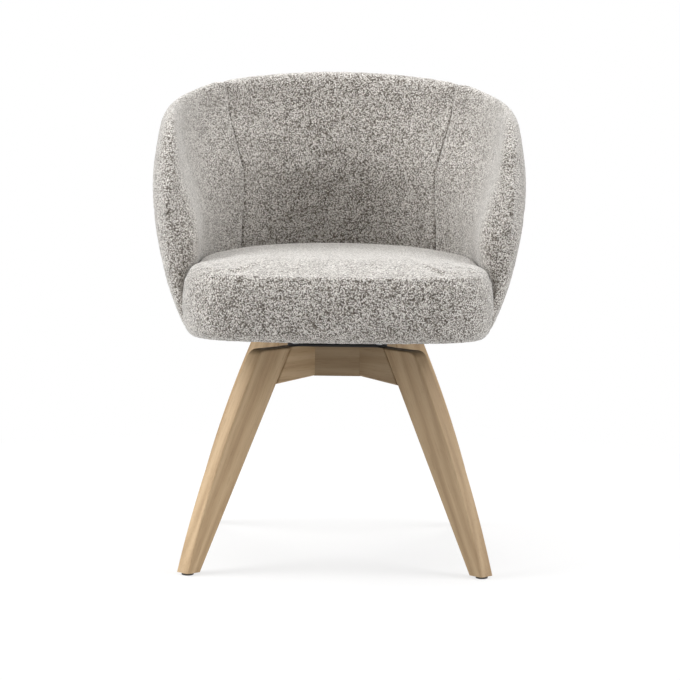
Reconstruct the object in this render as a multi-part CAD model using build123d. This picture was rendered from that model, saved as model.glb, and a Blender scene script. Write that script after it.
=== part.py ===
from build123d import *
import os
from math import atan2, cos, radians, sin, sqrt

# Swivel armchair: an upholstered tub on a splayed wooden base, in millimetres.
# The origin is on the floor under the swivel axis. +X is the viewer's right, the chair
# faces -Y and +Z is up. A radius without another word is measured from the swivel axis.

# Clearances
RUN_GAP = 0.05  # round a shaft or a ball that turns
FIT_GAP = 0.02  # round a pin, screw or dowel in its hole
SOFT_GAP = 0.3  # round padding, and between stops
TUCK_GAP = 2.0  # between the cushion's shoulder and the padding that tucks round it
SURE_CUT = 60.0  # how far a cutting body reaches past what it cuts

# Wooden base
WOOD_TOP = 343.0
FOOT_Z = 4.0
BOARD = 27.0  # thickness of the leg and rail boards
LEG_TOP_INNER = 117.0  # radius of the leg's inner edge at its top
LEG_TOP_WIDTH = 66.0
LEG_FOOT_INNER = 311.5  # where its inner edge would meet the floor
LEG_FOOT_WIDTH = 26.0
LEG_BOW = 12.0  # how far the outer edge bows from straight
LEG_CORNER = 18.0  # rounding of the top outer corner
ARRIS = 3.0  # rounding of the long edges
RAIL_DEPTH = 57.0  # at the leg
HUB_SIZE = 110.0
HUB_HEIGHT = 50.0
NUT_RECESS_RADIUS = 19.0
NUT_RECESS_DEPTH = 14.0
DOWEL_RADIUS = 4.0
DOWEL_LENGTH = 40.0
DOWEL_SPACING = 22.0
DOWEL_DEPTH = 15.0  # of the upper dowel below the wood's top
GLIDE_RADIUS = 9.5
GLIDE_PIN_RADIUS = 2.0
GLIDE_PIN_LENGTH = 14.0

# Swivel plates, pressed as shallow dishes that face each other
PLATE_CORNER = 14.0
PLATE = 3.0
SWIVEL_HEIGHT = 31.0  # from the wood to the seat board
RACE_GAP = 3.0  # between the two dishes
FLANGE = 17.0  # from the plate's side to the dish
DISH_SLOPE = 9.0  # width of the dish's sloping side
RACE_INSET = 12.0  # from the dish's flat edge to the ball centres
BALL_RADIUS = 3.0
BALL_COUNT = 14
CAGE_WIDTH = 11.0
CAGE_THICKNESS = 1.6
PLATE_SCREW_INSET = 18.3  # of the wood screws from the plate's corners
PLATE_SCREW_RADIUS = 2.5
PLATE_SCREW_LENGTH = 25.0
SCREW_HEAD_RADIUS = 5.0
SCREW_HEAD = 2.6
STOP_PIN_RADIUS = 4.0
STOP_PIN_LENGTH = 19.0  # below the upper plate's flange
STOP_LUG = 4.0
STOP_LUG_WIDTH = 10.0
STOP_LUG_HEIGHT = 14.0
SWIVEL_LIMIT = 90.0  # degrees each way

# Pivot
PIVOT_RADIUS = 6.0
PIVOT_HEAD_RADIUS = 12.0
PIVOT_HEAD = 4.0
PIVOT_TAIL = 2.0  # of the bolt past its nut
BUSH_WALL = 3.0
BUSH_FLANGE = 1.5
BUSH_FLANGE_RADIUS = 14.0
WASHER_RADIUS = 13.0
WASHER = 2.0
NUT_ACROSS = 19.0
NUT_HEIGHT = 8.0

# Seat board and its bolts
SEAT_BOARD = 15.0
BOARD_INSET = 32.0  # from the cushion's side, ahead of the tub
SEAT_BOLT_INSET = 23.1  # from the plate's corners
SEAT_BOLT_RADIUS = 3.0
SEAT_BOLT_HEAD_RADIUS = 6.0
SEAT_BOLT_HEAD = 4.0
SEAT_BOLT_END = 2.0  # from the bolt's end to the board's top
TEE_BARREL_RADIUS = 4.2
TEE_BARREL_LENGTH = 11.0
TEE_FLANGE_RADIUS = 9.0
TEE_FLANGE = 1.5

# Seat cushion
CUSHION_TUCK = 17.0  # how far its sides reach under the tub's padding
CUSHION_FRONT = 302.0  # from the swivel axis to the front's middle
CUSHION_FRONT_CURVE = 760.0  # radius of the front edge in plan
CUSHION_CORNER = 96.0
CUSHION_SIDE = 56.0  # height over the board's underside where the sides are widest
SHOULDER = 55.0  # rounding from the side to the top
CROWN = 4.0  # rise of the top's middle over the shoulder
CROWN_INSET = 84.0  # where the crown levels out
UNDER_ROUND = 24.0  # inset of the cushion's lower edge
SEAM_RISE = 34.0  # of the seam over the widest line
SEAM_DEPTH = 3.5
SEAM_WIDTH = 2.0
DUST_COVER = 1.0
DUST_COVER_INSET = 26.0
DUST_COVER_MARGIN = 3.0  # round the swivel plate

# Tub, with heights over the seat board's underside and insets from the widest line
TUB_RADIUS = 298.0
TUB_FOOT = 2.0
TUB_FOOT_INSET = 54.0
TUB_FOOT_WIDTH = 12.0
TUB_FOOT_SLOPE = 27.0  # height over which the wall narrows to its foot
WALL = 73.0  # thickness just above the cushion
TUB_WIDE = 231.0  # height of the widest line
RIM_DROP = 40.0  # least height from the widest line to the rim's rounding
INNER_BOW = 4.0  # how far the padding swells inwards
REAR_RIM = 401.0
SIDE_RIM = 345.0  # beside the swivel axis
REAR_RIM_INSET = 40.5  # of the rim's crest
SIDE_RIM_INSET = 49.5
RIM_OUTER_ROUND = 40.0
RIM_INNER_ROUND = 25.0
ARM_FRONT = 130.0  # how far the arms reach ahead of the axis
ARM_DROP = 144.0  # from the rim beside the axis to the arm's foremost point
ARM_SLOPE = 0.21  # fall of the arm's rim where it passes the axis
ARM_ROUND = 45.0  # length over which the arm's front is rounded
ARM_TOE = 12.0  # how far the arm's front turns in
ARM_EDGE_SHARE = 0.2  # of the wall's thickness, at the arm's foremost section
SEAM_ANGLE = 44.0  # of the two upright seams, from the middle of the back

# Moulded shell inside the tub's wall
SHELL = 10.0
SHELL_INSET = 26.0  # of its upright part from the tub's widest line
SHELL_BEND = 166.0  # above this height the shell stands upright
SHELL_FOOT_COVER = 8.0  # padding outside the shell at its foot
SHELL_COVER = 45.0  # padding over the shell's upper edge
SHELL_FRONT_COVER = 45.0  # from the shell to the arm's front
SHELL_FRONT_ROUND = 40.0
COVER_RISE = 16.0  # of the seam under the wrapped-over padding, above the shell's bend
SHELL_SCREW_RADIUS = 2.5
SHELL_SCREW_LENGTH = 42.0
SHELL_SCREW_ANGLES = (-60, -20, 20, 60)
SHELL_SCREW_ARM = 45.0  # how far ahead of the axis the arm screws sit
SHELL_SCREW_SINK = 4.0

# Places that follow from the sizes above
LEG_SLOPE = (LEG_FOOT_INNER - LEG_TOP_INNER) / WOOD_TOP
LEG_TOP_OUTER = LEG_TOP_INNER + LEG_TOP_WIDTH
LEG_FOOT_OUTER = LEG_FOOT_INNER + LEG_FOOT_WIDTH
RAIL_BOTTOM = WOOD_TOP - RAIL_DEPTH
HUB_CUT = BOARD / sqrt(2)
HUB_FACET = (HUB_SIZE - HUB_CUT) / sqrt(2)
HUB_BOTTOM = WOOD_TOP - HUB_HEIGHT
SEAT_BOARD_Z = WOOD_TOP + SWIVEL_HEIGHT
SEAT_BOARD_TOP = SEAT_BOARD_Z + SEAT_BOARD
RACE_Z = WOOD_TOP + SWIVEL_HEIGHT / 2
DOWEL_Z = WOOD_TOP - DOWEL_DEPTH
PLATE_SCREW_PLACE = (HUB_FACET + LEG_TOP_INNER + DOWEL_DEPTH * LEG_SLOPE) / 2  # between the dowels' ends
PLATE_SIZE = sqrt(2) * (PLATE_SCREW_PLACE + PLATE_SCREW_INSET)
DISH_FOOT_RADIUS = PLATE_SIZE / 2 - FLANGE
DISH_TOP_RADIUS = DISH_FOOT_RADIUS - DISH_SLOPE
RACE_RADIUS = DISH_TOP_RADIUS - RACE_INSET
STOP_RADIUS = PLATE_SIZE / 2 - FLANGE / 2
SEAT_BOLT_PLACE = PLATE_SIZE / sqrt(2) - SEAT_BOLT_INSET
TUB_FOOT_Z = SEAT_BOARD_Z + TUB_FOOT
TUB_FOOT_RADIUS = TUB_RADIUS - TUB_FOOT_INSET
TUB_INNER_RADIUS = TUB_RADIUS - WALL
REAR_RIM_Z = SEAT_BOARD_Z + REAR_RIM
SIDE_RIM_Z = SEAT_BOARD_Z + SIDE_RIM
REAR_RIM_RADIUS = TUB_RADIUS - REAR_RIM_INSET
SIDE_RIM_RADIUS = TUB_RADIUS - SIDE_RIM_INSET
SHELL_RADIUS = TUB_RADIUS - SHELL_INSET
SHELL_BEND_Z = SEAT_BOARD_Z + SHELL_BEND
SHELL_FRONT = ARM_FRONT - SHELL_FRONT_COVER
COVER_TOP_Z = SHELL_BEND_Z + COVER_RISE
CUSHION_HALF_WIDTH = TUB_INNER_RADIUS + CUSHION_TUCK
CUSHION_FOOT_Z = SEAT_BOARD_Z - PLATE
CUSHION_SIDE_Z = SEAT_BOARD_Z + CUSHION_SIDE
CUSHION_TOP_Z = CUSHION_SIDE_Z + SHOULDER
SEAM_Z = CUSHION_SIDE_Z + SEAM_RISE
PAD_FOOT_Z = CUSHION_SIDE_Z
DIAGONALS = (45, 135, 225, 315)
CORNER_NAMES = ("rear_right", "rear_left", "front_left", "front_right")

parts = {}


def leg_inner(z):
    """Radius of a leg's inner edge at a height."""
    return LEG_TOP_INNER + (WOOD_TOP - z) * LEG_SLOPE


def turned(shape, angle):
    """A shape turned about the swivel axis."""
    return Rot(0, 0, angle) * shape


def around(shape, angles):
    """Copies of a shape about the swivel axis, as one group."""
    return Compound(children=[turned(shape, angle) for angle in angles])


def rod(radius, low, high, place=0.0):
    """An upright cylinder between two heights, a radius away from the axis."""
    return Pos(place, 0, low) * extrude(Circle(radius), high - low)


def board_from(outline):
    """A board on the plane of radius and height, as thick as the frame's boards."""
    return extrude(make_face(Plane.XZ * outline), BOARD / 2, both=True)


# Wooden base
def dowel_places():
    """Inner end and height of each dowel in one arm of the frame."""
    heights = (DOWEL_Z, DOWEL_Z - DOWEL_SPACING)
    at_hub = [(HUB_FACET - DOWEL_LENGTH / 2, z) for z in heights]
    at_leg = [(leg_inner(z) - DOWEL_LENGTH / 2, z) for z in heights]
    return at_hub + at_leg


def dowel_group(radius, spare):
    """The dowels of one arm, or with spare length the holes for them."""
    rods = []
    for start, z in dowel_places():
        lying = Rot(0, 90, 0) * extrude(Circle(radius), DOWEL_LENGTH + 2 * spare)
        rods.append(Pos(start - spare, 0, z) * lying)
    return rods


def glide(grow):
    """A round glide with its pin, at the origin."""
    pad = fillet(rod(GLIDE_RADIUS, 0, FOOT_Z).edges().group_by(Axis.Z)[0], FOOT_Z / 3)
    return pad + rod(GLIDE_PIN_RADIUS + grow, FOOT_Z / 2, FOOT_Z + GLIDE_PIN_LENGTH + grow)


def build_base():
    dowel_holes = dowel_group(DOWEL_RADIUS + FIT_GAP, FIT_GAP)
    foot_middle = (LEG_FOOT_INNER + LEG_FOOT_OUTER) / 2

    top_inner = (LEG_TOP_INNER, WOOD_TOP)
    top_outer = (LEG_TOP_OUTER, WOOD_TOP)
    foot_outer = (LEG_FOOT_OUTER, 0)
    foot_inner = (LEG_FOOT_INNER, 0)
    rail_corner = (leg_inner(RAIL_BOTTOM), RAIL_BOTTOM)
    bow_control = ((LEG_TOP_OUTER + LEG_FOOT_OUTER) / 2 + 2 * LEG_BOW, WOOD_TOP / 2)
    outline = Line(top_inner, top_outer) + Bezier(top_outer, bow_control, foot_outer)
    outline += Polyline(foot_outer, foot_inner, rail_corner, top_inner)
    leg = board_from(outline)
    corner = leg.edges().filter_by(Axis.Y).sort_by(Axis.Z)[-2:].sort_by(Axis.X)[-1]
    leg = fillet(corner, LEG_CORNER)
    free_edges = [
        edge
        for face in leg.faces().filter_by(Axis.Y)
        for edge in face.edges()
        if edge.center().Z > FOOT_Z
        and not (edge.center().X < rail_corner[0] and RAIL_BOTTOM < edge.center().Z < WOOD_TOP - ARRIS)
    ]
    leg = split(fillet(free_edges, ARRIS), Plane.XY.offset(FOOT_Z), keep=Keep.TOP)
    for hole in dowel_holes:
        leg -= hole
    leg -= Pos(foot_middle, 0, 0) * glide(FIT_GAP)

    hub_corner = (HUB_FACET, HUB_BOTTOM)
    rail_outline = Polyline((HUB_FACET, WOOD_TOP), top_inner, rail_corner, hub_corner, close=True)
    rail = board_from(rail_outline)
    under = [edge for edge in rail.edges() if edge.center().Z < (HUB_BOTTOM + WOOD_TOP) / 2]
    rail = fillet([edge for edge in under if edge.length > 2 * BOARD], ARRIS)
    for hole in dowel_holes:
        rail -= hole
    rail -= rod(PLATE_SCREW_RADIUS + FIT_GAP, WOOD_TOP + PLATE - PLATE_SCREW_LENGTH - FIT_GAP,
                WOOD_TOP + PLATE, PLATE_SCREW_PLACE)

    hub_plan = chamfer(Rectangle(HUB_SIZE, HUB_SIZE).vertices(), HUB_CUT)
    hub = Pos(0, 0, HUB_BOTTOM) * extrude(hub_plan, HUB_HEIGHT)
    hub -= rod(NUT_RECESS_RADIUS, WOOD_TOP - NUT_RECESS_DEPTH, WOOD_TOP)
    for angle in DIAGONALS:
        for hole in dowel_holes[:2]:
            hub -= turned(hole, angle)
    parts["hub_block"] = hub

    dowels = []
    for name, angle in zip(CORNER_NAMES, DIAGONALS):
        parts["leg_" + name] = turned(leg, angle)
        parts["rail_" + name] = turned(rail, angle)
        parts["glide_" + name] = turned(Pos(foot_middle, 0, 0) * glide(0), angle)
        dowels += [turned(dowel, angle) for dowel in dowel_group(DOWEL_RADIUS, 0)]
    parts["dowels"] = Compound(children=dowels)


# Swivel
def dish(flange_z, race_z, bore):
    """A square flange with a pressed dish, whose flat middle lies at race_z."""
    flange = extrude(RectangleRounded(PLATE_SIZE, PLATE_SIZE, PLATE_CORNER), PLATE)
    flange = Pos(0, 0, flange_z) * flange - rod(DISH_FOOT_RADIUS, flange_z, flange_z + PLATE)
    overlap = DISH_FOOT_RADIUS + PLATE
    profile = Polyline(
        (bore, race_z), (DISH_TOP_RADIUS, race_z), (DISH_FOOT_RADIUS, flange_z), (overlap, flange_z),
        (overlap, flange_z + PLATE), (DISH_FOOT_RADIUS, flange_z + PLATE), (DISH_TOP_RADIUS, race_z + PLATE),
        (bore, race_z + PLATE), close=True)
    pressed = revolve(make_face(Plane.XZ * profile), Axis.Z)
    groove = Pos(0, 0, RACE_Z) * Torus(RACE_RADIUS, BALL_RADIUS + RUN_GAP)
    return flange + pressed - groove


def headed(shank_radius, head_radius, head, length):
    """A screw at the origin, with a bevelled head below and its shank pointing up."""
    top = chamfer(rod(head_radius, -head, 0).edges().group_by(Axis.Z)[0], head / 2)
    return top + rod(shank_radius, -head / 2, length)


def build_swivel():
    lower_race = RACE_Z - RACE_GAP / 2 - PLATE
    upper_race = RACE_Z + RACE_GAP / 2
    upper_flange = SEAT_BOARD_Z - PLATE
    bush_radius = PIVOT_RADIUS + RUN_GAP + BUSH_WALL

    lower = dish(WOOD_TOP, lower_race, bush_radius + FIT_GAP)
    lug = Pos(STOP_RADIUS, STOP_PIN_RADIUS + SOFT_GAP + STOP_LUG / 2, WOOD_TOP)
    lug *= Box(STOP_LUG_WIDTH, STOP_LUG, STOP_LUG_HEIGHT, align=(Align.CENTER, Align.CENTER, Align.MIN))
    lower += turned(lug, 90 + SWIVEL_LIMIT)
    lower += turned(mirror(lug, Plane.XZ), 90 - SWIVEL_LIMIT)
    screw_hole = rod(PLATE_SCREW_RADIUS + FIT_GAP, WOOD_TOP, WOOD_TOP + PLATE, PLATE_SCREW_PLACE)
    for angle in DIAGONALS:
        lower -= turned(screw_hole, angle)
    parts["swivel_lower_plate"] = lower
    screw = headed(PLATE_SCREW_RADIUS, SCREW_HEAD_RADIUS, SCREW_HEAD, PLATE_SCREW_LENGTH)
    screw = Pos(PLATE_SCREW_PLACE, 0, WOOD_TOP + PLATE) * Rot(180, 0, 0) * screw
    parts["plate_screws"] = around(screw, DIAGONALS)

    bush = rod(bush_radius, lower_race, lower_race + PLATE)
    bush += rod(BUSH_FLANGE_RADIUS, lower_race - BUSH_FLANGE, lower_race)
    bush -= rod(PIVOT_RADIUS + RUN_GAP, lower_race - BUSH_FLANGE, lower_race + PLATE)
    parts["pivot_bush"] = bush

    ball_angles = [360 * index / BALL_COUNT for index in range(BALL_COUNT)]
    parts["bearing_balls"] = around(Pos(RACE_RADIUS, 0, RACE_Z) * Sphere(BALL_RADIUS), ball_angles)
    cage = rod(RACE_RADIUS + CAGE_WIDTH / 2, RACE_Z - CAGE_THICKNESS / 2, RACE_Z + CAGE_THICKNESS / 2)
    cage -= rod(RACE_RADIUS - CAGE_WIDTH / 2, RACE_Z - CAGE_THICKNESS / 2, RACE_Z + CAGE_THICKNESS / 2)
    pocket = rod(BALL_RADIUS + RUN_GAP, RACE_Z - CAGE_THICKNESS, RACE_Z + CAGE_THICKNESS, RACE_RADIUS)
    for angle in ball_angles:
        cage -= turned(pocket, angle)
    parts["ball_cage"] = cage

    upper = dish(upper_flange, upper_race, PIVOT_RADIUS + FIT_GAP)
    bolt_hole = rod(SEAT_BOLT_RADIUS + FIT_GAP, upper_flange, SEAT_BOARD_Z, SEAT_BOLT_PLACE)
    for angle in DIAGONALS:
        upper -= turned(bolt_hole, angle)
    upper -= turned(rod(STOP_PIN_RADIUS + FIT_GAP, upper_flange, SEAT_BOARD_Z, STOP_RADIUS), 90)
    parts["swivel_upper_plate"] = upper
    pin = rod(STOP_PIN_RADIUS, upper_flange - STOP_PIN_LENGTH, SEAT_BOARD_Z, STOP_RADIUS)
    pin = chamfer(pin.edges().group_by(Axis.Z)[0], STOP_PIN_RADIUS / 4)
    parts["stop_pin"] = turned(pin, 90)

    washer_top = lower_race - BUSH_FLANGE - RUN_GAP
    nut_top = washer_top - WASHER
    nut_foot = nut_top - NUT_HEIGHT
    bolt_head = rod(PIVOT_HEAD_RADIUS, upper_race + PLATE, upper_race + PLATE + PIVOT_HEAD)
    bolt_head = chamfer(bolt_head.edges().group_by(Axis.Z)[-1], PIVOT_HEAD / 4)
    parts["pivot_bolt"] = bolt_head + rod(PIVOT_RADIUS, nut_foot - PIVOT_TAIL, upper_race + PLATE)
    shaft_hole = rod(PIVOT_RADIUS + FIT_GAP, nut_foot, washer_top)
    parts["pivot_washer"] = rod(WASHER_RADIUS, nut_top, washer_top) - shaft_hole
    nut_plan = RegularPolygon(NUT_ACROSS / 2, 6, major_radius=False)
    parts["pivot_nut"] = Pos(0, 0, nut_foot) * extrude(nut_plan, NUT_HEIGHT) - shaft_hole

    bolt_length = SEAT_BOARD_TOP - SEAT_BOLT_END - upper_flange
    bolt = headed(SEAT_BOLT_RADIUS, SEAT_BOLT_HEAD_RADIUS, SEAT_BOLT_HEAD, bolt_length)
    parts["seat_bolts"] = around(Pos(SEAT_BOLT_PLACE, 0, upper_flange) * bolt, DIAGONALS)
    tee = tee_nut(0) - rod(SEAT_BOLT_RADIUS + FIT_GAP, SEAT_BOARD_Z, SEAT_BOARD_TOP)
    parts["tee_nuts"] = around(Pos(SEAT_BOLT_PLACE, 0, 0) * tee, DIAGONALS)


def tee_nut(grow):
    """A tee nut let into the board's top, without its bore."""
    barrel = rod(TEE_BARREL_RADIUS + grow, SEAT_BOARD_TOP - TEE_BARREL_LENGTH - grow, SEAT_BOARD_TOP)
    return barrel + rod(TEE_FLANGE_RADIUS + grow, SEAT_BOARD_TOP - TEE_FLANGE - grow, SEAT_BOARD_TOP)


# Seat cushion
def seat_plan(inset, z):
    """The cushion's outline in plan, moved in by an inset: round behind, bowed in front."""
    half = CUSHION_HALF_WIDTH - inset
    corner = CUSHION_CORNER - inset
    bow = CUSHION_FRONT_CURVE - inset
    bow_y = CUSHION_FRONT_CURVE - CUSHION_FRONT
    corner_x = CUSHION_HALF_WIDTH - CUSHION_CORNER
    reach = CUSHION_FRONT_CURVE - CUSHION_CORNER
    corner_y = bow_y - sqrt(reach**2 - corner_x**2)
    turn = atan2(corner_y - bow_y, corner_x)
    middle = turn / 2
    join = (bow * cos(turn), bow_y + bow * sin(turn))
    on_corner = (corner_x + corner * cos(middle), corner_y + corner * sin(middle))
    slant = half / sqrt(2)

    def left(point):
        return (-point[0], point[1])

    edges = [
        ThreePointArc((half, 0), (slant, slant), (0, half)),
        ThreePointArc((0, half), (-slant, slant), (-half, 0)),
        Line((-half, 0), (-half, corner_y)),
        ThreePointArc((-half, corner_y), left(on_corner), left(join)),
        ThreePointArc(left(join), (0, bow_y - bow), join),
        ThreePointArc(join, on_corner, (half, corner_y)),
        Line((half, corner_y), (half, 0)),
    ]
    return Pos(0, 0, z) * make_face(edges)


def build_seat():
    sections = []
    under = CUSHION_SIDE_Z - CUSHION_FOOT_Z
    for share in (1.0, 0.75, 0.4, 0.0):
        sections.append(seat_plan(UNDER_ROUND * share**4, CUSHION_SIDE_Z - under * share))
    for angle in (25, 45, 65, 80):
        inset = SHOULDER * (1 - cos(radians(angle)))
        sections.append(seat_plan(inset, CUSHION_SIDE_Z + SHOULDER * sin(radians(angle))))
    crown_start = SHOULDER * (1 - cos(radians(80)))
    sections.append(seat_plan((crown_start + CROWN_INSET) / 2, CUSHION_TOP_Z + CROWN * 0.6))
    sections.append(seat_plan(CROWN_INSET, CUSHION_TOP_Z + CROWN))
    cushion = loft(sections)
    seam_inset = SHOULDER - sqrt(SHOULDER**2 - (SEAM_Z - CUSHION_SIDE_Z) ** 2) + SEAM_DEPTH
    seam_ring = extrude(seat_plan(0, SEAM_Z) - seat_plan(seam_inset, SEAM_Z), SEAM_WIDTH)
    cushion -= seam_ring

    board = extrude(seat_plan(BOARD_INSET, SEAT_BOARD_Z), SEAT_BOARD)
    board += tub_solid(shell_inside(SEAT_BOARD_Z, SEAT_BOARD_TOP), SHELL_FRONT)
    pocket_top = SEAT_BOARD_TOP + SOFT_GAP
    pocket = extrude(seat_plan(BOARD_INSET - SOFT_GAP, CUSHION_FOOT_Z), pocket_top - CUSHION_FOOT_Z)
    inner = tub_solid(shell_inside(CUSHION_FOOT_Z, pocket_top), SHELL_FRONT + SOFT_GAP)
    cushion -= pocket
    cushion -= inner
    cushion -= shell(SOFT_GAP)
    parts["seat_cushion"] = cushion

    for angle in DIAGONALS:
        board -= turned(Pos(SEAT_BOLT_PLACE, 0, 0) * tee_nut(FIT_GAP), angle)
        board -= turned(rod(SEAT_BOLT_RADIUS + FIT_GAP, SEAT_BOARD_Z, SEAT_BOARD_TOP, SEAT_BOLT_PLACE), angle)
    for screw in shell_screws(FIT_GAP):
        board -= screw
    parts["seat_board"] = board

    opening = PLATE_SIZE + 2 * DUST_COVER_MARGIN
    plan = seat_plan(DUST_COVER_INSET, CUSHION_FOOT_Z - DUST_COVER)
    dust = extrude(plan, DUST_COVER)
    dust -= Pos(0, 0, CUSHION_FOOT_Z - DUST_COVER) * extrude(
        RectangleRounded(opening, opening, PLATE_CORNER + DUST_COVER_MARGIN), DUST_COVER)
    parts["dust_cover"] = dust


# Shell and tub
def tub_solid(profile, front):
    """A profile of radius and height, turned round the back and carried forward along both arms."""
    back = revolve(Plane.XZ * profile, Axis.Z, 180)
    arm = extrude(Plane.XZ * profile, front)
    return back + arm + mirror(arm, Plane.YZ)


def shell_arc(offset, low, high):
    """The shell's curved face moved out by an offset, as an arc between two heights below the bend."""
    foot_radius = TUB_FOOT_RADIUS - SHELL_FOOT_COVER
    drop = SHELL_RADIUS - foot_radius
    height = SHELL_BEND_Z - TUB_FOOT_Z
    curve = (height**2 + drop**2) / (2 * drop)

    def at(z):
        return (SHELL_RADIUS - curve + sqrt(curve**2 - (SHELL_BEND_Z - z) ** 2) + offset, z)

    return [at(low), at((low + high) / 2), at(high)]


def shell_inside(low, high):
    """Profile of the space inside the shell between two heights, from the axis outwards."""
    face = shell_arc(-SHELL, low, high)
    edges = [ThreePointArc(*face), Polyline(face[2], (0, high), (0, low), face[0])]
    return make_face(edges)


def shell_band(inner, outer, low, high):
    """Profile between two offsets of the shell's outer face, up to a height above the bend."""
    inside = shell_arc(inner, low, SHELL_BEND_Z)
    outside = shell_arc(outer, low, SHELL_BEND_Z)
    edges = [
        ThreePointArc(*inside),
        Polyline(inside[2], (inside[2][0], high), (outside[2][0], high), outside[2]),
        ThreePointArc(*reversed(outside)),
        Line(outside[0], inside[0]),
    ]
    return make_face(edges)


def shell(grow):
    """The moulded shell, or with growth the room that the padding leaves for it."""
    blank = tub_solid(shell_band(-SHELL - grow, grow, TUB_FOOT_Z, REAR_RIM_Z), SHELL_FRONT + grow)
    front_top = rim_height(-SHELL_FRONT) - SHELL_COVER + grow
    side_top = SIDE_RIM_Z - SHELL_COVER + grow
    rear_top = REAR_RIM_Z - SHELL_COVER + grow
    front = -SHELL_FRONT - grow
    rear = SHELL_RADIUS + SURE_CUT
    side_view = Polyline(
        (front, TUB_FOOT_Z), (front, front_top), (0, side_top), (REAR_RIM_RADIUS, rear_top), (rear, rear_top),
        (rear, TUB_FOOT_Z), close=True)
    side_face = make_face(Plane.YZ * side_view)
    corner = side_face.vertices().sort_by(Axis.Y)[:2].sort_by(Axis.Z)[-1]
    side_face = fillet(corner, SHELL_FRONT_ROUND)
    return blank & extrude(side_face, SHELL_RADIUS + SURE_CUT, both=True)


def shell_screws(grow):
    """Screws from the shell's outer face into the board's edge."""
    z = (SEAT_BOARD_Z + SEAT_BOARD_TOP) / 2
    face_radius = shell_arc(0, TUB_FOOT_Z, z)[2][0]
    head_radius = SCREW_HEAD_RADIUS + grow
    screw = headed(SHELL_SCREW_RADIUS + grow, head_radius, SCREW_HEAD + grow, SHELL_SCREW_LENGTH + grow)
    if grow:
        screw += rod(head_radius, -SHELL_SCREW_SINK - SCREW_HEAD, 0)
    screw = Pos(face_radius - SHELL_SCREW_SINK, 0, z) * Rot(0, -90, 0) * screw
    screws = [turned(screw, 90 + angle) for angle in SHELL_SCREW_ANGLES]
    for side in (0, 180):
        screws.append(Pos(0, -SHELL_SCREW_ARM, 0) * turned(screw, side))
    return screws


def rim_height(y):
    """Height of the rim's crest, level with a place along the chair."""
    if y > 0:
        return SIDE_RIM_Z + (REAR_RIM_Z - SIDE_RIM_Z) * y / REAR_RIM_RADIUS
    fall = ARM_DROP - ARM_SLOPE * ARM_FRONT
    return SIDE_RIM_Z + ARM_SLOPE * y - fall * (-y / ARM_FRONT) ** 3


def wall_section(plane, rim_z, crest_radius, toe, thickness):
    """Section of the padded wall at one place of the tub, turned in by a toe and thinned by a share."""
    wide_radius = TUB_RADIUS - toe
    rim_radius = crest_radius - toe
    round_z = rim_z - RIM_OUTER_ROUND
    wide_z = min(SEAT_BOARD_Z + TUB_WIDE, round_z - RIM_DROP)
    shoulder = SHOULDER + TUCK_GAP
    shoulder_r = CUSHION_HALF_WIDTH - SHOULDER
    seat_r = shoulder_r + shoulder
    seat_z = CUSHION_SIDE_Z + sqrt(shoulder**2 - (TUB_INNER_RADIUS - shoulder_r) ** 2)

    lower_drop = wide_radius - TUB_FOOT_RADIUS
    lower_curve = ((wide_z - TUB_FOOT_Z) ** 2 + lower_drop**2) / (2 * lower_drop)
    lower_z = (wide_z + TUB_FOOT_Z) / 2
    lower_r = wide_radius - lower_curve + sqrt(lower_curve**2 - (wide_z - lower_z) ** 2)

    # The upper curve leaves the widest line upright and runs smoothly into the rim's rounding.
    inset = rim_radius - wide_radius
    rise = round_z - wide_z
    upper_curve = (RIM_OUTER_ROUND**2 - inset**2 - rise**2) / (2 * (inset + RIM_OUTER_ROUND))
    upper_turn = atan2(rise, upper_curve + inset)

    def upper(angle):
        return (wide_radius - upper_curve + upper_curve * cos(angle), wide_z + upper_curve * sin(angle))

    def outer_round(angle):
        return (rim_radius + RIM_OUTER_ROUND * cos(angle), round_z + RIM_OUTER_ROUND * sin(angle))

    def inner_round(angle):
        return (rim_radius + RIM_INNER_ROUND * cos(angle), rim_z - RIM_INNER_ROUND * (1 - sin(angle)))

    quarter = radians(90)
    inner_top = inner_round(2 * quarter)
    inner_foot = (TUB_INNER_RADIUS, seat_z)
    inner_middle = ((inner_top[0] + inner_foot[0]) / 2 - INNER_BOW, (inner_top[1] + inner_foot[1]) / 2)
    seat_turn = atan2(seat_z - CUSHION_SIDE_Z, TUB_INNER_RADIUS - shoulder_r) / 2
    on_shoulder = (shoulder_r + shoulder * cos(seat_turn), CUSHION_SIDE_Z + shoulder * sin(seat_turn))
    side_foot = (seat_r, CUSHION_SIDE_Z)
    bend = (seat_r, TUB_FOOT_Z + TUB_FOOT_SLOPE)
    foot_inner = (TUB_FOOT_RADIUS - TUB_FOOT_WIDTH, TUB_FOOT_Z)
    foot_outer = (TUB_FOOT_RADIUS, TUB_FOOT_Z)
    foot_middle = TUB_FOOT_RADIUS - TUB_FOOT_WIDTH / 2
    wide_middle = (wide_radius + TUB_INNER_RADIUS) / 2

    def thinned(point):
        share = min(1.0, (point[1] - TUB_FOOT_Z) / (wide_z - TUB_FOOT_Z))
        middle = foot_middle + (wide_middle - foot_middle) * share
        return (middle + (point[0] - middle) * thickness, point[1])

    def arc(*points):
        return ThreePointArc(*[thinned(point) for point in points])

    def line(*points):
        return Line(*[thinned(point) for point in points])

    edges = [
        arc(foot_outer, (lower_r, lower_z), (wide_radius, wide_z)),
        arc((wide_radius, wide_z), upper(upper_turn / 2), upper(upper_turn)),
        arc(upper(upper_turn), outer_round((upper_turn + quarter) / 2), outer_round(quarter)),
        arc(outer_round(quarter), inner_round(1.5 * quarter), inner_top),
        arc(inner_top, inner_middle, inner_foot),
        arc(inner_foot, on_shoulder, side_foot),
        line(side_foot, bend),
        line(bend, foot_inner),
        line(foot_inner, foot_outer),
    ]
    return plane * make_face(edges)


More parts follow.
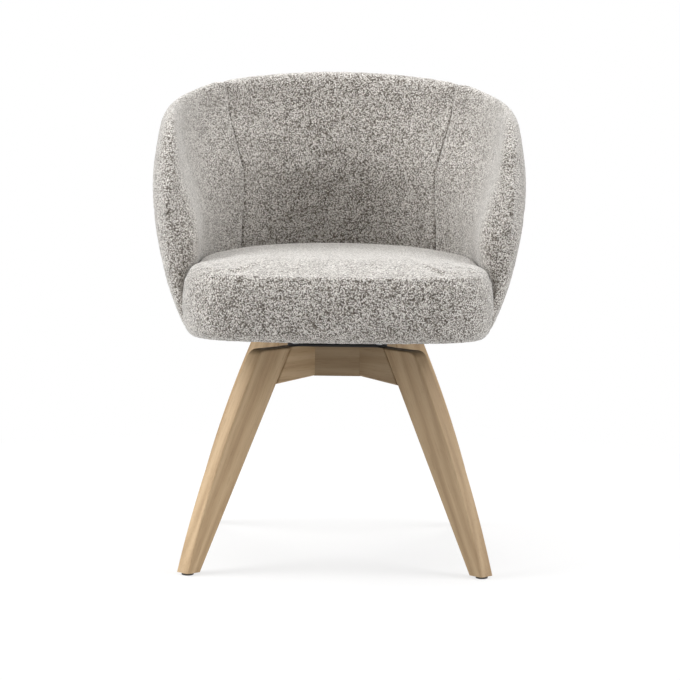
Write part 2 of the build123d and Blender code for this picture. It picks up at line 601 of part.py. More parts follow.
def back_section(angle):
    """Section of the wall round the back, at an angle from its middle towards the left."""
    out = (-sin(radians(angle)), cos(radians(angle)), 0)
    plane = Plane((0, 0, 0), x_dir=out, z_dir=(out[1], -out[0], 0))
    rim_radius = SIDE_RIM_RADIUS + (REAR_RIM_RADIUS - SIDE_RIM_RADIUS) * out[1] ** 2
    return wall_section(plane, rim_height(rim_radius * out[1]), rim_radius, 0, 1)


def arm_section(reach):
    """Section of the left arm at a distance ahead of the axis, thinned where the front is rounded."""
    plane = Plane((0, -reach, 0), x_dir=(-1, 0, 0), z_dir=(0, 1, 0))
    rounding = max(0.0, reach - (ARM_FRONT - ARM_ROUND)) / ARM_ROUND
    thickness = sqrt(1 - (1 - ARM_EDGE_SHARE**2) * rounding**2)
    toe = ARM_TOE * (reach / ARM_FRONT) ** 2
    return wall_section(plane, rim_height(-reach), SIDE_RIM_RADIUS, toe, thickness)


def even_steps(first, last, count):
    """Evenly spaced values from the first to the last, both included."""
    return [first + (last - first) * index / count for index in range(count + 1)]


def seam_plane(angle, side):
    """Plane of an upright seam, moved half the seam's gap to one side and facing that way."""
    facing = Vector(-cos(radians(angle)), -sin(radians(angle)), 0) * side
    return Plane(facing * (SOFT_GAP / 2), x_dir=(0, 0, 1), z_dir=facing)


def build_tub():
    # Each length of wall is lofted past its seams and then trimmed there.
    step = (90 - SEAM_ANGLE) / 4
    past = SEAM_ANGLE + step
    back = loft([back_section(angle) for angle in even_steps(-past, past, 8)])
    back = split(back, seam_plane(SEAM_ANGLE, -1), keep=Keep.TOP)
    back = split(back, seam_plane(-SEAM_ANGLE, 1), keep=Keep.TOP)
    rounding_start = ARM_FRONT - ARM_ROUND
    stations = [back_section(angle) for angle in even_steps(SEAM_ANGLE - step, 90, 5)]
    stations += [arm_section(reach) for reach in even_steps(0, rounding_start, 3)[1:]]
    stations += [arm_section(rounding_start + ARM_ROUND * share) for share in (0.3, 0.6, 0.8, 0.93, 1.0)]
    left = split(loft(stations), seam_plane(SEAM_ANGLE, 1), keep=Keep.TOP)

    # Below a seam the tub has a separate cover outside the shell.
    outside = SURE_CUT + TUB_RADIUS
    cover_inner = shell_arc(SOFT_GAP, TUB_FOOT_Z, SHELL_BEND_Z)
    room_inner = shell_arc(-SHELL - SOFT_GAP, PAD_FOOT_Z, SHELL_BEND_Z)

    def outside_of(face, top):
        edges = [
            ThreePointArc(*face),
            Polyline(face[2], (face[2][0], top), (outside, top), (outside, face[0][1]), face[0]),
        ]
        return make_face(edges)

    cover_room = tub_solid(outside_of(cover_inner, COVER_TOP_Z - SOFT_GAP), SHELL_FRONT)
    pad_cut = tub_solid(outside_of(room_inner, COVER_TOP_Z), SHELL_FRONT + SOFT_GAP)
    foot_profile = Polyline((0, PAD_FOOT_Z), (outside, PAD_FOOT_Z), (outside, PAD_FOOT_Z - SURE_CUT),
                            (0, PAD_FOOT_Z - SURE_CUT), close=True)
    foot_cut = tub_solid(make_face(foot_profile), SHELL_FRONT + SOFT_GAP)
    shell_room = shell(SOFT_GAP)

    def pad(wall):
        return wall - pad_cut - foot_cut - shell_room

    parts["back_pad"] = pad(back)
    parts["arm_pad_left"] = pad(left)
    parts["arm_pad_right"] = mirror(parts["arm_pad_left"], Plane.YZ)
    parts["outer_back"] = back & cover_room
    parts["outer_left"] = left & cover_room
    parts["outer_right"] = mirror(parts["outer_left"], Plane.YZ)

    moulding = shell(0)
    for screw in shell_screws(FIT_GAP):
        moulding -= screw
    parts["back_shell"] = moulding
    parts["shell_screws"] = Compound(children=shell_screws(0))


build_base()
build_swivel()
build_seat()
build_tub()

os.makedirs("parts", exist_ok=True)
for name, shape in parts.items():
    export_step(shape, "parts/" + name + ".step")
    print(name, len(shape.solids()), round(shape.volume))
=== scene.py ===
from math import atan2, cos, degrees, exp, hypot, radians, sin

import bmesh
import bpy
from mathutils import Matrix, Quaternion, Vector


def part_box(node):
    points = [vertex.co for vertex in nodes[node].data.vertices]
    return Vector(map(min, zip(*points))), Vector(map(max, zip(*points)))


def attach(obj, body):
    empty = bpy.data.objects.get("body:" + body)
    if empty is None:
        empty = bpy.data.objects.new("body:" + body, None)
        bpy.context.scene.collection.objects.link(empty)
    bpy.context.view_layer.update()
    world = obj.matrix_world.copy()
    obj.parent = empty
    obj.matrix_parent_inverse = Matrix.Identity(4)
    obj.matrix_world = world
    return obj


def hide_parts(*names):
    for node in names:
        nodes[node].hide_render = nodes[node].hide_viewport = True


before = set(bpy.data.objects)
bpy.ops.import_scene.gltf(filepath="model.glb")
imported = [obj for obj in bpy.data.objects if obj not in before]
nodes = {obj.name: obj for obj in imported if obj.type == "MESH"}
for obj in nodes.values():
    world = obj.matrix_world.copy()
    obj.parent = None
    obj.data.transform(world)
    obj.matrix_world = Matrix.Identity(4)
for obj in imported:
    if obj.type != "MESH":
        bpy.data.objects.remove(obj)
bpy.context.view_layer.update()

# Swivel armchair: a tub in speckled boucle on a splayed oak base, in metres.
# The chair faces -Y, and the swivel axis is the Z axis.

scene = bpy.context.scene

SEAT_SEAM_Z = 0.465
SEAT_TOP_Z = 0.485
COVER_SEAM_Z = 0.556
TUB_RADIUS = 0.298
TUB_WALL = 0.073
UPRIGHT_SEAM = 44.0  # degrees from the middle of the back
RIM_SIDE_Z = 0.719  # rim beside the axis
RIM_RISE = 0.056  # from there to the middle of the back
ARM_SLOPE = 0.21
ARM_DROP = 0.117  # extra fall at the arm's front
ARM_LENGTH = 0.13
ARM_LEAN = 0.036  # how far the inner side leans out at the rim
BACK_LEAN = 0.024
EVEN_FACE = 0.005
YARN_RELIEF = 0.0012
CLOTH_SHARE = 0.97  # dust cloth against the cushion's underside
LEG_OUTER_SPREAD = 0.154  # how far the leg's outer edge runs outwards on its way down
LEG_INNER_SPREAD = 0.194
LEG_DROP = 0.343
LAMP_AIM = (0.0, 0.0, 0.5)


# Materials
def new_finish(name):
    """A new material, its node tree and its surface shader."""
    finish = bpy.data.materials.new(name)
    finish.use_nodes = True
    tree = finish.node_tree
    return finish, tree, tree.nodes["Principled BSDF"]


def put(tree, kind, inputs=None, **settings):
    """A shader node with its settings and its input values."""
    node = tree.nodes.new("ShaderNode" + kind)
    for key, value in settings.items():
        setattr(node, key, value)
    for key, value in (inputs or {}).items():
        if isinstance(value, bpy.types.NodeSocket):
            tree.links.new(value, node.inputs[key])
        else:
            node.inputs[key].default_value = value
    return node


def sums(tree, operation, first, second, third=0.0):
    """The result of a Math node."""
    node = put(tree, "Math", {0: first, 1: second, 2: third}, operation=operation)
    return node.outputs[0]


def ramp(tree, value, stops):
    """Colours along a value, from (place, colour) pairs."""
    node = put(tree, "ValToRGB", {"Fac": value})
    elements = node.color_ramp.elements
    while len(elements) < len(stops):
        elements.new(1.0)
    for element, (place, colour) in zip(elements, stops):
        element.position = place
        element.color = (*colour, 1.0)
    return node.outputs["Color"]


def blended(tree, share, first, second, blend="MIX"):
    """Two colours mixed by a share."""
    node = put(tree, "Mix", data_type="RGBA", blend_type=blend)
    for socket, value in ((node.inputs[0], share), (node.inputs[6], first), (node.inputs[7], second)):
        if isinstance(value, bpy.types.NodeSocket):
            tree.links.new(value, socket)
        else:
            socket.default_value = value if isinstance(value, float) else (*value, 1.0)
    return node.outputs[2]


def bumped(tree, shader, height, distance, strength=1.0):
    """Relief on a shader from a height in the range 0 to 1."""
    bump = put(tree, "Bump", {"Height": height, "Distance": distance, "Strength": strength})
    tree.links.new(bump.outputs["Normal"], shader.inputs["Normal"])


def boucle():
    """Cream loops of yarn with painted shade in the hollows between them, and a few grey loops among them."""
    finish, tree, shader = new_finish("speckled_boucle")
    place = put(tree, "TexCoord").outputs["Object"]
    wander = put(tree, "TexNoise", {"Vector": place, "Scale": 380.0, "Detail": 2.0}).outputs["Color"]
    wander = put(tree, "VectorMath", {0: wander, 1: (0.5, 0.5, 0.5)}, operation="SUBTRACT").outputs[0]
    wander = put(tree, "VectorMath", {0: wander, "Scale": 0.0031}, operation="SCALE").outputs[0]
    yarn_place = put(tree, "VectorMath", {0: place, 1: wander}, operation="ADD").outputs[0]
    loop = put(tree, "TexVoronoi", {"Vector": yarn_place, "Scale": 480.0, "Randomness": 1.0})
    loop_tone = put(tree, "SeparateColor", {"Color": loop.outputs["Color"]}).outputs[0]
    patch = put(tree, "TexNoise", {"Vector": place, "Scale": 48.0, "Detail": 4.0, "Roughness": 0.65}).outputs["Fac"]
    patch = sums(tree, "SUBTRACT", patch, 0.5)
    loop_tone = sums(tree, "MULTIPLY_ADD", patch, 0.30, loop_tone)
    yarn = ramp(tree, loop_tone, [
        (0.02, (0.240, 0.215, 0.188)),
        (0.18, (0.455, 0.420, 0.380)),
        (0.36, (0.700, 0.666, 0.622)),
        (1.00, (0.855, 0.827, 0.787)),
    ])
    gap = sums(tree, "MULTIPLY_ADD", patch, -0.25, loop.outputs["Distance"])
    loops_over_painted_gap_shade = ramp(tree, gap, [(0.34, (1.0, 1.0, 1.0)), (0.72, (0.0, 0.0, 0.0))])
    # The dark colour in the gaps between the loops is painted shade in the hollows there.
    ground = (0.096, 0.080, 0.064)
    tree.links.new(blended(tree, loops_over_painted_gap_shade, ground, yarn), shader.inputs["Base Color"])
    hair = put(tree, "TexNoise", {"Vector": place, "Scale": 1800.0, "Detail": 2.0}).outputs["Fac"]
    height = sums(tree, "SUBTRACT", 1.0, loop.outputs["Distance"])
    bumped(tree, shader, sums(tree, "MULTIPLY_ADD", hair, 0.25, height), 0.0016, 0.75)
    shader.inputs["Roughness"].default_value = 0.97
    shader.inputs["Specular IOR Level"].default_value = 0.1
    shader.inputs["Sheen Weight"].default_value = 1.0
    shader.inputs["Sheen Roughness"].default_value = 0.45
    shader.inputs["Sheen Tint"].default_value = (1.0, 0.985, 0.96, 1.0)
    return finish


def oak(name, grain, across, shift, painted_lighting=1.0):
    """Pale oiled oak whose grain runs along one direction, with staves side by side across it."""
    finish, tree, shader = new_finish(name)
    u = Vector(grain).normalized()
    w = u.cross(Vector(across)).normalized()
    v = w.cross(u)
    turn = Matrix((u, v, w)).to_euler()
    place = put(tree, "TexCoord").outputs["Object"]
    board = put(tree, "Mapping", {"Vector": place, "Rotation": turn, "Location": shift}).outputs[0]

    def stretched(along, sideways, detail, roughness=0.55, distortion=0.0):
        scaled = put(tree, "Mapping", {"Vector": board, "Scale": (along, sideways, sideways)}).outputs[0]
        return put(tree, "TexNoise", {
            "Vector": scaled, "Scale": 1.0, "Detail": detail, "Roughness": roughness, "Distortion": distortion,
        }).outputs["Fac"]

    bend = stretched(1.6, 13.0, 2.0)
    parts = put(tree, "SeparateXYZ", {"Vector": board})
    ring_place = sums(tree, "MULTIPLY_ADD", bend, 11.0, sums(tree, "MULTIPLY", parts.outputs[1], 130.0))
    ring_place = sums(tree, "MULTIPLY_ADD", parts.outputs[2], 90.0, ring_place)
    rings = sums(tree, "MULTIPLY_ADD", sums(tree, "SINE", sums(tree, "MULTIPLY", ring_place, 2.0), 0.0), 0.5, 0.5)
    streak = stretched(7.0, 150.0, 6.0, 0.62)
    pore = stretched(34.0, 1300.0, 3.0, 0.6)
    stave = sums(tree, "FLOOR", sums(tree, "MULTIPLY", parts.outputs[1], 30.0), 0.0)
    stave_tone = put(tree, "TexWhiteNoise", {"W": stave}, noise_dimensions="1D").outputs["Value"]
    tone = sums(tree, "MULTIPLY_ADD", rings, 0.26, sums(tree, "MULTIPLY", streak, 0.62))
    tone = sums(tree, "MULTIPLY_ADD", stave_tone, 0.16, tone)
    # painted_lighting brightens or darkens the oak's colours as painted lighting and shade on this part
    dark = [value * painted_lighting for value in (0.345, 0.228, 0.124)]
    middle = [value * painted_lighting for value in (0.465, 0.325, 0.187)]
    pale = [value * painted_lighting for value in (0.560, 0.410, 0.250)]
    wood = ramp(tree, tone, [(0.22, dark), (0.50, middle), (0.78, pale)])
    pores = ramp(tree, pore, [(0.30, (0.72, 0.67, 0.61)), (0.42, (1.0, 1.0, 1.0))])
    tree.links.new(blended(tree, 1.0, wood, pores, "MULTIPLY"), shader.inputs["Base Color"])
    gloss = sums(tree, "MULTIPLY_ADD", streak, 0.22, 0.44)
    tree.links.new(gloss, shader.inputs["Roughness"])
    shader.inputs["Specular IOR Level"].default_value = 0.35
    bumped(tree, shader, sums(tree, "MULTIPLY_ADD", pore, 0.6, streak), 0.0006, 0.35)
    return finish


def ply():
    """Birch plywood: pale veneers with their edges in bands."""
    finish, tree, shader = new_finish("birch_ply")
    place = put(tree, "TexCoord").outputs["Object"]
    height = put(tree, "SeparateXYZ", {"Vector": place}).outputs[2]
    veneer = sums(tree, "SINE", sums(tree, "MULTIPLY", height, 2200.0), 0.0)
    scaled = put(tree, "Mapping", {"Vector": place, "Scale": (6.0, 160.0, 160.0)}).outputs[0]
    streak = put(tree, "TexNoise", {"Vector": scaled, "Scale": 1.0, "Detail": 5.0}).outputs["Fac"]
    tone = sums(tree, "MULTIPLY_ADD", veneer, 0.12, streak)
    wood = ramp(tree, tone, [(0.25, (0.38, 0.27, 0.165)), (0.55, (0.56, 0.43, 0.29)), (0.8, (0.66, 0.53, 0.38))])
    tree.links.new(wood, shader.inputs["Base Color"])
    shader.inputs["Roughness"].default_value = 0.7
    bumped(tree, shader, streak, 0.0004, 0.3)
    return finish


def metal(name, colour, metallic, roughness, grain):
    """Steel with a slightly uneven coat."""
    finish, tree, shader = new_finish(name)
    place = put(tree, "TexCoord").outputs["Object"]
    cloud = put(tree, "TexNoise", {"Vector": place, "Scale": grain, "Detail": 4.0}).outputs["Fac"]
    low = [value * 0.82 for value in colour]
    high = [value * 1.16 for value in colour]
    tree.links.new(ramp(tree, cloud, [(0.3, low), (0.7, high)]), shader.inputs["Base Color"])
    tree.links.new(sums(tree, "MULTIPLY_ADD", cloud, 0.25, roughness - 0.12), shader.inputs["Roughness"])
    shader.inputs["Metallic"].default_value = metallic
    fine = put(tree, "TexNoise", {"Vector": place, "Scale": grain * 9.0, "Detail": 2.0}).outputs["Fac"]
    bumped(tree, shader, fine, 0.0003, 0.25)
    return finish


def plastic(name, colour, roughness):
    """Moulded plastic with a fine matt texture."""
    finish, tree, shader = new_finish(name)
    place = put(tree, "TexCoord").outputs["Object"]
    cloud = put(tree, "TexNoise", {"Vector": place, "Scale": 160.0, "Detail": 3.0}).outputs["Fac"]
    low = [value * 0.85 for value in colour]
    high = [value * 1.15 for value in colour]
    tree.links.new(ramp(tree, cloud, [(0.35, low), (0.65, high)]), shader.inputs["Base Color"])
    pit = put(tree, "TexVoronoi", {"Vector": place, "Scale": 1400.0}).outputs["Distance"]
    bumped(tree, shader, pit, 0.0002, 0.3)
    shader.inputs["Roughness"].default_value = roughness
    return finish


def felted_cloth():
    """Black non-woven cloth, pressed in a fine dimple pattern."""
    finish, tree, shader = new_finish("black_nonwoven")
    place = put(tree, "TexCoord").outputs["Object"]
    fibre = put(tree, "TexNoise", {"Vector": place, "Scale": 420.0, "Detail": 6.0, "Roughness": 0.7}).outputs["Fac"]
    tree.links.new(ramp(tree, fibre, [(0.3, (0.008, 0.0074, 0.007)), (0.75, (0.028, 0.026, 0.0245))]),
                   shader.inputs["Base Color"])
    dimple = put(tree, "TexVoronoi", {"Vector": place, "Scale": 480.0, "Randomness": 0.15}).outputs["Distance"]
    bumped(tree, shader, sums(tree, "MULTIPLY_ADD", fibre, 0.4, dimple), 0.0006, 0.6)
    shader.inputs["Roughness"].default_value = 0.9
    shader.inputs["Sheen Weight"].default_value = 0.1
    return finish


# Rigid pieces: the frame's own solids with their finishes
def dress(node, finish):
    """Gives a rigid solid its finish."""
    mesh = nodes[node].data
    mesh.materials.clear()
    mesh.materials.append(finish)


LEG_LEAN = atan2(LEG_OUTER_SPREAD + LEG_INNER_SPREAD, 2 * LEG_DROP)
# Each corner: the direction of its leg, and painted lighting for the leg and the rail, factors on their colour that
# brighten the left corners and darken the right ones as the lamps and shade fall on them
CORNERS = {
    "rear_right": (45, 0.90, 0.85),
    "rear_left": (135, 1.00, 0.90),
    "front_left": (225, 1.06, 1.08),
    "front_right": (315, 0.85, 0.66),
}
for index, (corner, (angle, leg_painted_lighting, rail_painted_lighting)) in enumerate(CORNERS.items()):
    out = Vector((cos(radians(angle)), sin(radians(angle)), 0))
    down = out * sin(LEG_LEAN) - Vector((0, 0, cos(LEG_LEAN)))
    side = out * cos(LEG_LEAN) + Vector((0, 0, sin(LEG_LEAN)))
    leg_shift = (0.37 * index, 0.013 * index, 0.21 * index)
    rail_shift = (0.7 + 0.31 * index, 0.02, 0.11 * index)
    dress("leg_" + corner, oak("oak_leg_" + corner, down, side, leg_shift, leg_painted_lighting))
    dress("rail_" + corner, oak("oak_rail_" + corner, out, (0, 0, 1), rail_shift, rail_painted_lighting))
    dress("glide_" + corner, plastic("dark_glide_" + corner, (0.030, 0.026, 0.023), 0.5))
# The hub's colour is darkened by 0.72 as painted shade under the seat.
dress("hub_block", oak("oak_hub", (1, 0, 0), (0, 0, 1), (0.1, 0.02, 0.4), 0.72))
dress("dowels", oak("beech_dowel", (1, 0, 0), (0, 0, 1), (0.5, 0.1, 0.2)))
birch = ply()
for node in ("seat_board", "back_shell"):
    dress(node, birch)
black_steel = metal("black_steel", (0.012, 0.0112, 0.0105), 0.2, 0.55, 240.0)
for node in ("swivel_lower_plate", "swivel_upper_plate"):
    dress(node, black_steel)
zinc = metal("zinc_steel", (0.56, 0.56, 0.58), 1.0, 0.36, 300.0)
for node in ("plate_screws", "pivot_bolt", "pivot_washer", "pivot_nut", "seat_bolts", "tee_nuts", "shell_screws",
             "stop_pin", "bearing_balls"):
    dress(node, zinc)
nylon = plastic("ivory_nylon", (0.62, 0.59, 0.52), 0.42)
for node in ("pivot_bush", "ball_cage"):
    dress(node, nylon)


# Soft pieces
def copy_of(name, *solids):
    """A new piece from copies of the frame's solids, with their corners merged."""
    form = bmesh.new()
    for solid in solids:
        form.from_mesh(nodes[solid].data)
    bmesh.ops.remove_doubles(form, verts=form.verts, dist=2e-6)
    mesh = bpy.data.meshes.new(name)
    form.to_mesh(mesh)
    form.free()
    mesh.materials.clear()
    piece = bpy.data.objects.new(name, mesh)
    scene.collection.objects.link(piece)
    return piece


def settle(piece):
    """Applies the piece's modifiers."""
    bpy.context.view_layer.update()
    ready = piece.evaluated_get(bpy.context.evaluated_depsgraph_get())
    mesh = bpy.data.meshes.new_from_object(ready)
    piece.modifiers.clear()
    piece.data = mesh
    mesh.name = piece.name


def remeshed(piece, voxel):
    """Even small faces all over the piece."""
    remesh = piece.modifiers.new("even_faces", "REMESH")
    remesh.mode = "VOXEL"
    remesh.voxel_size = voxel
    settle(piece)


def filled(piece, hold, cap, pressure=4.0):
    """Fills the piece with air, held where it is sewn or tacked down; no point moves further than the cap."""
    start = [vertex.co.copy() for vertex in piece.data.vertices]
    grip = [hold(vertex.co, vertex.normal) for vertex in piece.data.vertices]
    sewn = piece.vertex_groups.new(name="sewn")
    for index, share in enumerate(grip):
        sewn.add([index], share, "REPLACE")
    cloth = piece.modifiers.new("filling", "CLOTH")
    cloth.settings.use_pressure = True
    cloth.settings.uniform_pressure_force = pressure
    cloth.settings.vertex_group_mass = sewn.name
    cloth.settings.quality = 4
    cloth.settings.effector_weights.gravity = 0.0
    cloth.point_cache.frame_start = 1
    cloth.point_cache.frame_end = 20
    for moment in range(1, 21):
        scene.frame_set(moment)
    settle(piece)
    scene.frame_set(1)
    piece.vertex_groups.clear()
    for vertex, before, share in zip(piece.data.vertices, start, grip):
        move = vertex.co - before
        if move.length > cap:
            move *= cap / move.length
        vertex.co = before + move * (1.0 - share)


def drawn_in(piece, distance, width, depth):
    """Pulls the surface in along a seam; distance gives how far a point is from it."""
    mesh = piece.data
    moves = []
    for vertex in mesh.vertices:
        away = distance(vertex.co, vertex.normal) / width
        moves.append(vertex.normal * depth * exp(-away * away) if away < 3 else None)
    for vertex, move in zip(mesh.vertices, moves):
        if move:
            vertex.co -= move


def loops_of_yarn(piece, relief):
    """Finer faces, rounded, with the yarn's loops raised on them."""
    finer = piece.modifiers.new("finer", "SUBSURF")
    finer.levels = finer.render_levels = 1
    yarn = bpy.data.textures.get("yarn") or bpy.data.textures.new("yarn", "CLOUDS")
    yarn.noise_scale = 0.0042
    yarn.noise_depth = 1
    raised = piece.modifiers.new("loops", "DISPLACE")
    raised.texture = yarn
    raised.texture_coords = "LOCAL"
    raised.strength = relief
    raised.mid_level = 0.5
    for face in piece.data.polygons:
        face.use_smooth = True


def wall_radius(point):
    """Distance from the tub's middle line: the axis behind it, the chair's middle plane ahead of it."""
    return hypot(point.x, point.y) if point.y > 0 else abs(point.x)


def rim_height(point):
    """Height of the tub's rim beside a point: it falls from the back to the arms' fronts."""
    if point.y > 0:
        return RIM_SIDE_Z + RIM_RISE * point.y / hypot(point.x, point.y)
    return RIM_SIDE_Z + ARM_SLOPE * point.y - ARM_DROP * (-point.y / ARM_LENGTH) ** 3


def eased(value, low, high):
    """Rises smoothly from 0 to 1 between two values."""
    share = min(1.0, max(0.0, (value - low) / (high - low)))
    return share * share * (3.0 - 2.0 * share)


def flared(piece):
    """Leans the tub's inner side outwards towards the rim, as a bowl's, rounds the rim and fills the outside."""
    crest = piece.vertex_groups.new(name="crest")
    for vertex in piece.data.vertices:
        place = vertex.co.copy()
        out = Vector((place.x, max(0.0, place.y), 0)).normalized()
        inside = min(1.0, max(0.0, (TUB_RADIUS - wall_radius(place)) / TUB_WALL))
        low = 0.50 + 0.10 * eased(place.y, 0.03, 0.16)
        height = (place.z - low) / (rim_height(place) - low)
        lean = (ARM_LEAN - (ARM_LEAN - BACK_LEAN) * eased(place.y, 0.10, 0.25)) * eased(height, 0.0, 0.85)
        fullness = eased(place.z, 0.46, 0.58) * eased(rim_height(place) - place.z, 0.02, 0.12)
        from_seam = abs(degrees(atan2(abs(place.x), place.y)) - UPRIGHT_SEAM)
        rounded = eased(height, 0.70, 0.92) * eased(from_seam, 0.5, 5.0)
        crest.add([vertex.index], rounded, "REPLACE")
        vertex.co = place + out * (lean * inside ** 1.3 + 0.0025 * fullness * (1.0 - inside) ** 2)
        vertex.co.z += 0.0012 * rounded
    smooth = piece.modifiers.new("rounded_rim", "SMOOTH")
    smooth.vertex_group = crest.name
    smooth.factor = 0.5
    smooth.iterations = 16
    settle(piece)


def leaning_seam(piece):
    """Leans the two upright seams outwards towards the rim."""
    for vertex in piece.data.vertices:
        angle = degrees(atan2(abs(vertex.co.x), vertex.co.y))
        beside = eased(28.0 - abs(angle - UPRIGHT_SEAM), 0.0, 28.0)
        turn = radians(1.8 + 1.2 * eased(vertex.co.z, 0.58, 0.74)) * beside
        vertex.co.rotate(Quaternion((0, 0, 1), turn if vertex.co.x < 0 else -turn))


def cover_seam(point, normal):
    """Distance from the level seam round the outside of the tub."""
    return abs(point.z - COVER_SEAM_Z) if wall_radius(point) > 0.28 and point.y > -0.088 else 1.0


wool = boucle()


def wall(name, pad, cover):
    """One of the tub's three lengths of padded wall, with the outer cover below it."""
    piece = copy_of(name, pad, cover)
    remeshed(piece, EVEN_FACE)
    flared(piece)
    leaning_seam(piece)
    drawn_in(piece, cover_seam, 0.004, 0.0012)
    loops_of_yarn(piece, YARN_RELIEF)
    piece.data.materials.clear()
    piece.data.materials.append(wool)
    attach(piece, "seat")
    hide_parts(pad, cover)


wall("tub_back", "back_pad", "outer_back")
wall("tub_arm_left", "arm_pad_left", "outer_left")
wall("tub_arm_right", "arm_pad_right", "outer_right")


def hold_seat(point, normal):
    """Where the cushion can't swell: on the board, along its seam and where the tub holds it."""
    base = max(0.0, min(1.0, (0.400 - point.z) / 0.012))
    seam = max(0.0, 1.0 - abs(point.z - SEAT_SEAM_Z) / 0.006)
    tub = max(0.0, min(1.0, (point.y + 0.16) / 0.04)) if point.z < SEAT_TOP_Z - 0.004 else 0.0
    return max(base, seam, tub)


def seat_seam(point, normal):
    """Distance from the seam round the cushion."""
    return abs(point.z - SEAT_SEAM_Z) if normal.z < 0.97 else 1.0


def squared_up(piece):
    """Fills out the cushion's upper and lower edges where it stands free of the tub."""
    mesh = piece.data
    moves = []
    for vertex in mesh.vertices:
        up = vertex.normal.z
        slant = (4.0 * up * up * (1.0 - up * up)) ** 1.5
        free = eased(-vertex.co.y, 0.10, 0.15)
        amount = 0.0075 if up > 0 else 0.004
        moves.append(vertex.normal * slant * (amount * free + 0.0008 * (1.0 - free)))
    for vertex, move in zip(mesh.vertices, moves):
        vertex.co += move


def seat():
    """The seat's cushion, filled and squared up, with its seam drawn in."""
    piece = copy_of("seat_pad", "seat_cushion")
    remeshed(piece, EVEN_FACE)
    filled(piece, hold_seat, 0.006)
    squared_up(piece)
    drawn_in(piece, seat_seam, 0.0045, 0.0022)
    loops_of_yarn(piece, YARN_RELIEF)
    piece.data.materials.clear()
    piece.data.materials.append(wool)
    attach(piece, "seat")
    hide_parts("seat_cushion")


seat()


def dust_cloth():
    """The black cloth stapled under the seat, slack between its edges."""
    low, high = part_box("dust_cover")
    form = bmesh.new()
    form.from_mesh(nodes["dust_cover"].data)
    bmesh.ops.remove_doubles(form, verts=form.verts, dist=2e-6)
    form.normal_update()
    spare = [face for face in form.faces if face.normal.z > -0.9]
    bmesh.ops.delete(form, geom=spare, context="FACES")
    bmesh.ops.dissolve_limit(form, angle_limit=radians(1), verts=form.verts, edges=form.edges)
    step = 0.02
    for axis, low_end, high_end in ((0, low.x, high.x), (1, low.y, high.y)):
        count = int((high_end - low_end) / step)
        for index in range(1, count + 1):
            spot = Vector((0, 0, 0))
            spot[axis] = low_end + (high_end - low_end) * index / (count + 1)
            facing = Vector((0, 0, 0))
            facing[axis] = 1.0
            bmesh.ops.bisect_plane(form, geom=form.verts[:] + form.edges[:] + form.faces[:], dist=1e-6,
                                   plane_co=spot, plane_no=facing)
    for vertex in form.verts:
        from_hole = min(1.0, max(0.0, (hypot(vertex.co.x, vertex.co.y) - 0.12) / 0.06))
        vertex.co.xy *= 1.0 - (1.0 - CLOTH_SHARE) * from_hole
        vertex.co.z += 0.0006
    area = sum(face.calc_area() for face in form.faces)
    rim = [vertex.co.xy.copy() for vertex in form.verts if vertex.is_boundary]
    for vertex in form.verts:
        away = min((vertex.co.xy - spot).length for spot in rim)
        ripple = 0.5 + 0.5 * sin(vertex.co.x * 61 + sin(vertex.co.y * 37) * 1.7)
        vertex.co.z -= 0.0022 * (1 - exp(-away / 0.02)) * (0.6 + 0.4 * ripple)
    mesh = bpy.data.meshes.new("seat_dust_cloth")
    form.to_mesh(mesh)
    form.free()
    mesh.materials.clear()
    mesh.materials.append(felted_cloth())
    for face in mesh.polygons:
        face.use_smooth = True
    piece = bpy.data.objects.new("seat_dust_cloth", mesh)
    scene.collection.objects.link(piece)
    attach(piece, "seat")
    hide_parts("dust_cover")


dust_cloth()


# Studio
def floor():
    """A wide pale floor, which keeps the chair's shadow."""
    form = bmesh.new()
    bmesh.ops.create_grid(form, x_segments=8, y_segments=8, size=20.0)
    mesh = bpy.data.meshes.new("floor")
    form.to_mesh(mesh)
    form.free()
    finish, tree, shader = new_finish("pale_floor")
    shader.inputs["Roughness"].default_value = 1.0
    shader.inputs["Specular IOR Level"].default_value = 0.0
    path = put(tree, "LightPath")
    pale = put(tree, "MapRange", {0: path.outputs["Is Camera Ray"], 3: 0.65, 4: 0.9}).outputs[0]
    tree.links.new(pale, shader.inputs["Base Color"])
    seen = sums(tree, "MAXIMUM", path.outputs["Is Camera Ray"], path.outputs["Is Glossy Ray"])
    place = put(tree, "TexCoord").outputs["Object"]
    away = put(tree, "VectorMath", {0: place}, operation="LENGTH").outputs["Value"]
    clear = put(tree, "MapRange", {0: away, 1: 0.35, 2: 1.3, 3: 0.72, 4: 1.0}).outputs[0]
    white = put(tree, "Emission", {"Color": (1.0, 1.0, 1.0, 1.0), "Strength": 1.0})
    mixed = put(tree, "MixShader", {0: sums(tree, "MULTIPLY", seen, clear), 1: shader.outputs[0], 2: white.outputs[0]})
    tree.links.new(mixed.outputs[0], tree.nodes["Material Output"].inputs["Surface"])
    mesh.materials.append(finish)
    ground = bpy.data.objects.new("floor", mesh)
    scene.collection.objects.link(ground)


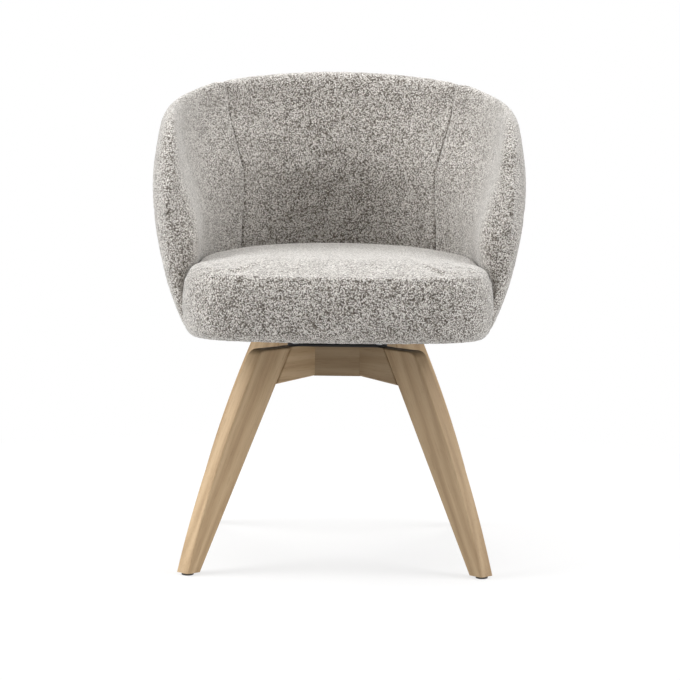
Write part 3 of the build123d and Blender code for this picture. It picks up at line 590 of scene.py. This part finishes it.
def backdrop(ambient):
    """A world that looks white and lights the chair evenly."""
    world = bpy.data.worlds.new("studio")
    scene.world = world
    world.use_nodes = True
    tree = world.node_tree
    even = tree.nodes["Background"]
    even.inputs["Color"].default_value = (1.0, 1.0, 1.0, 1.0)
    even.inputs["Strength"].default_value = ambient
    white = put(tree, "Background", {"Color": (1.0, 1.0, 1.0, 1.0), "Strength": 1.0})
    path = put(tree, "LightPath")
    seen = sums(tree, "MAXIMUM", path.outputs["Is Camera Ray"], path.outputs["Is Glossy Ray"])
    seen = sums(tree, "MAXIMUM", seen, path.outputs["Is Transmission Ray"])
    mixed = put(tree, "MixShader", {0: seen, 1: even.outputs[0], 2: white.outputs[0]})
    tree.links.new(mixed.outputs[0], tree.nodes["World Output"].inputs["Surface"])


def softbox(name, place, target, size, power):
    """A square lamp facing a point."""
    lamp = bpy.data.lights.new(name, "AREA")
    lamp.shape = "SQUARE"
    lamp.size = size
    lamp.energy = power
    box = bpy.data.objects.new(name, lamp)
    box.location = place
    box.rotation_euler = (Vector(target) - Vector(place)).to_track_quat("-Z", "Y").to_euler()
    scene.collection.objects.link(box)


def camera():
    """The camera at the photograph's place, with its slight roll."""
    data = bpy.data.cameras.new("camera")
    data.lens = 146.9
    data.sensor_width = 36.0
    data.shift_x = 2.5 / 680
    eye = bpy.data.objects.new("camera", data)
    eye.location = (0.0, -4.49, 0.858)
    look = (Vector((0.0, 0.0, 0.345)) - eye.location).to_track_quat("-Z", "Y")
    eye.rotation_euler = (look @ Quaternion((0, 0, 1), radians(0.69))).to_euler()
    scene.collection.objects.link(eye)
    scene.camera = eye


floor()
backdrop(0.205)
softbox("top_lamp", (-0.1, -0.1, 2.8), LAMP_AIM, 2.0, 37.0)
softbox("rear_lamp", (0.0, 1.6, 2.6), LAMP_AIM, 1.6, 24.0)
softbox("upper_left_lamp", (-2.1, -0.3, 2.4), LAMP_AIM, 1.6, 47.0)
softbox("upper_right_lamp", (2.2, -0.3, 2.3), LAMP_AIM, 1.6, 31.0)
softbox("left_lamp", (-2.5, -1.1, 1.1), LAMP_AIM, 1.6, 35.0)
softbox("right_lamp", (2.5, -1.1, 1.1), LAMP_AIM, 1.6, 31.0)
camera()
scene.view_settings.view_transform = "Standard"
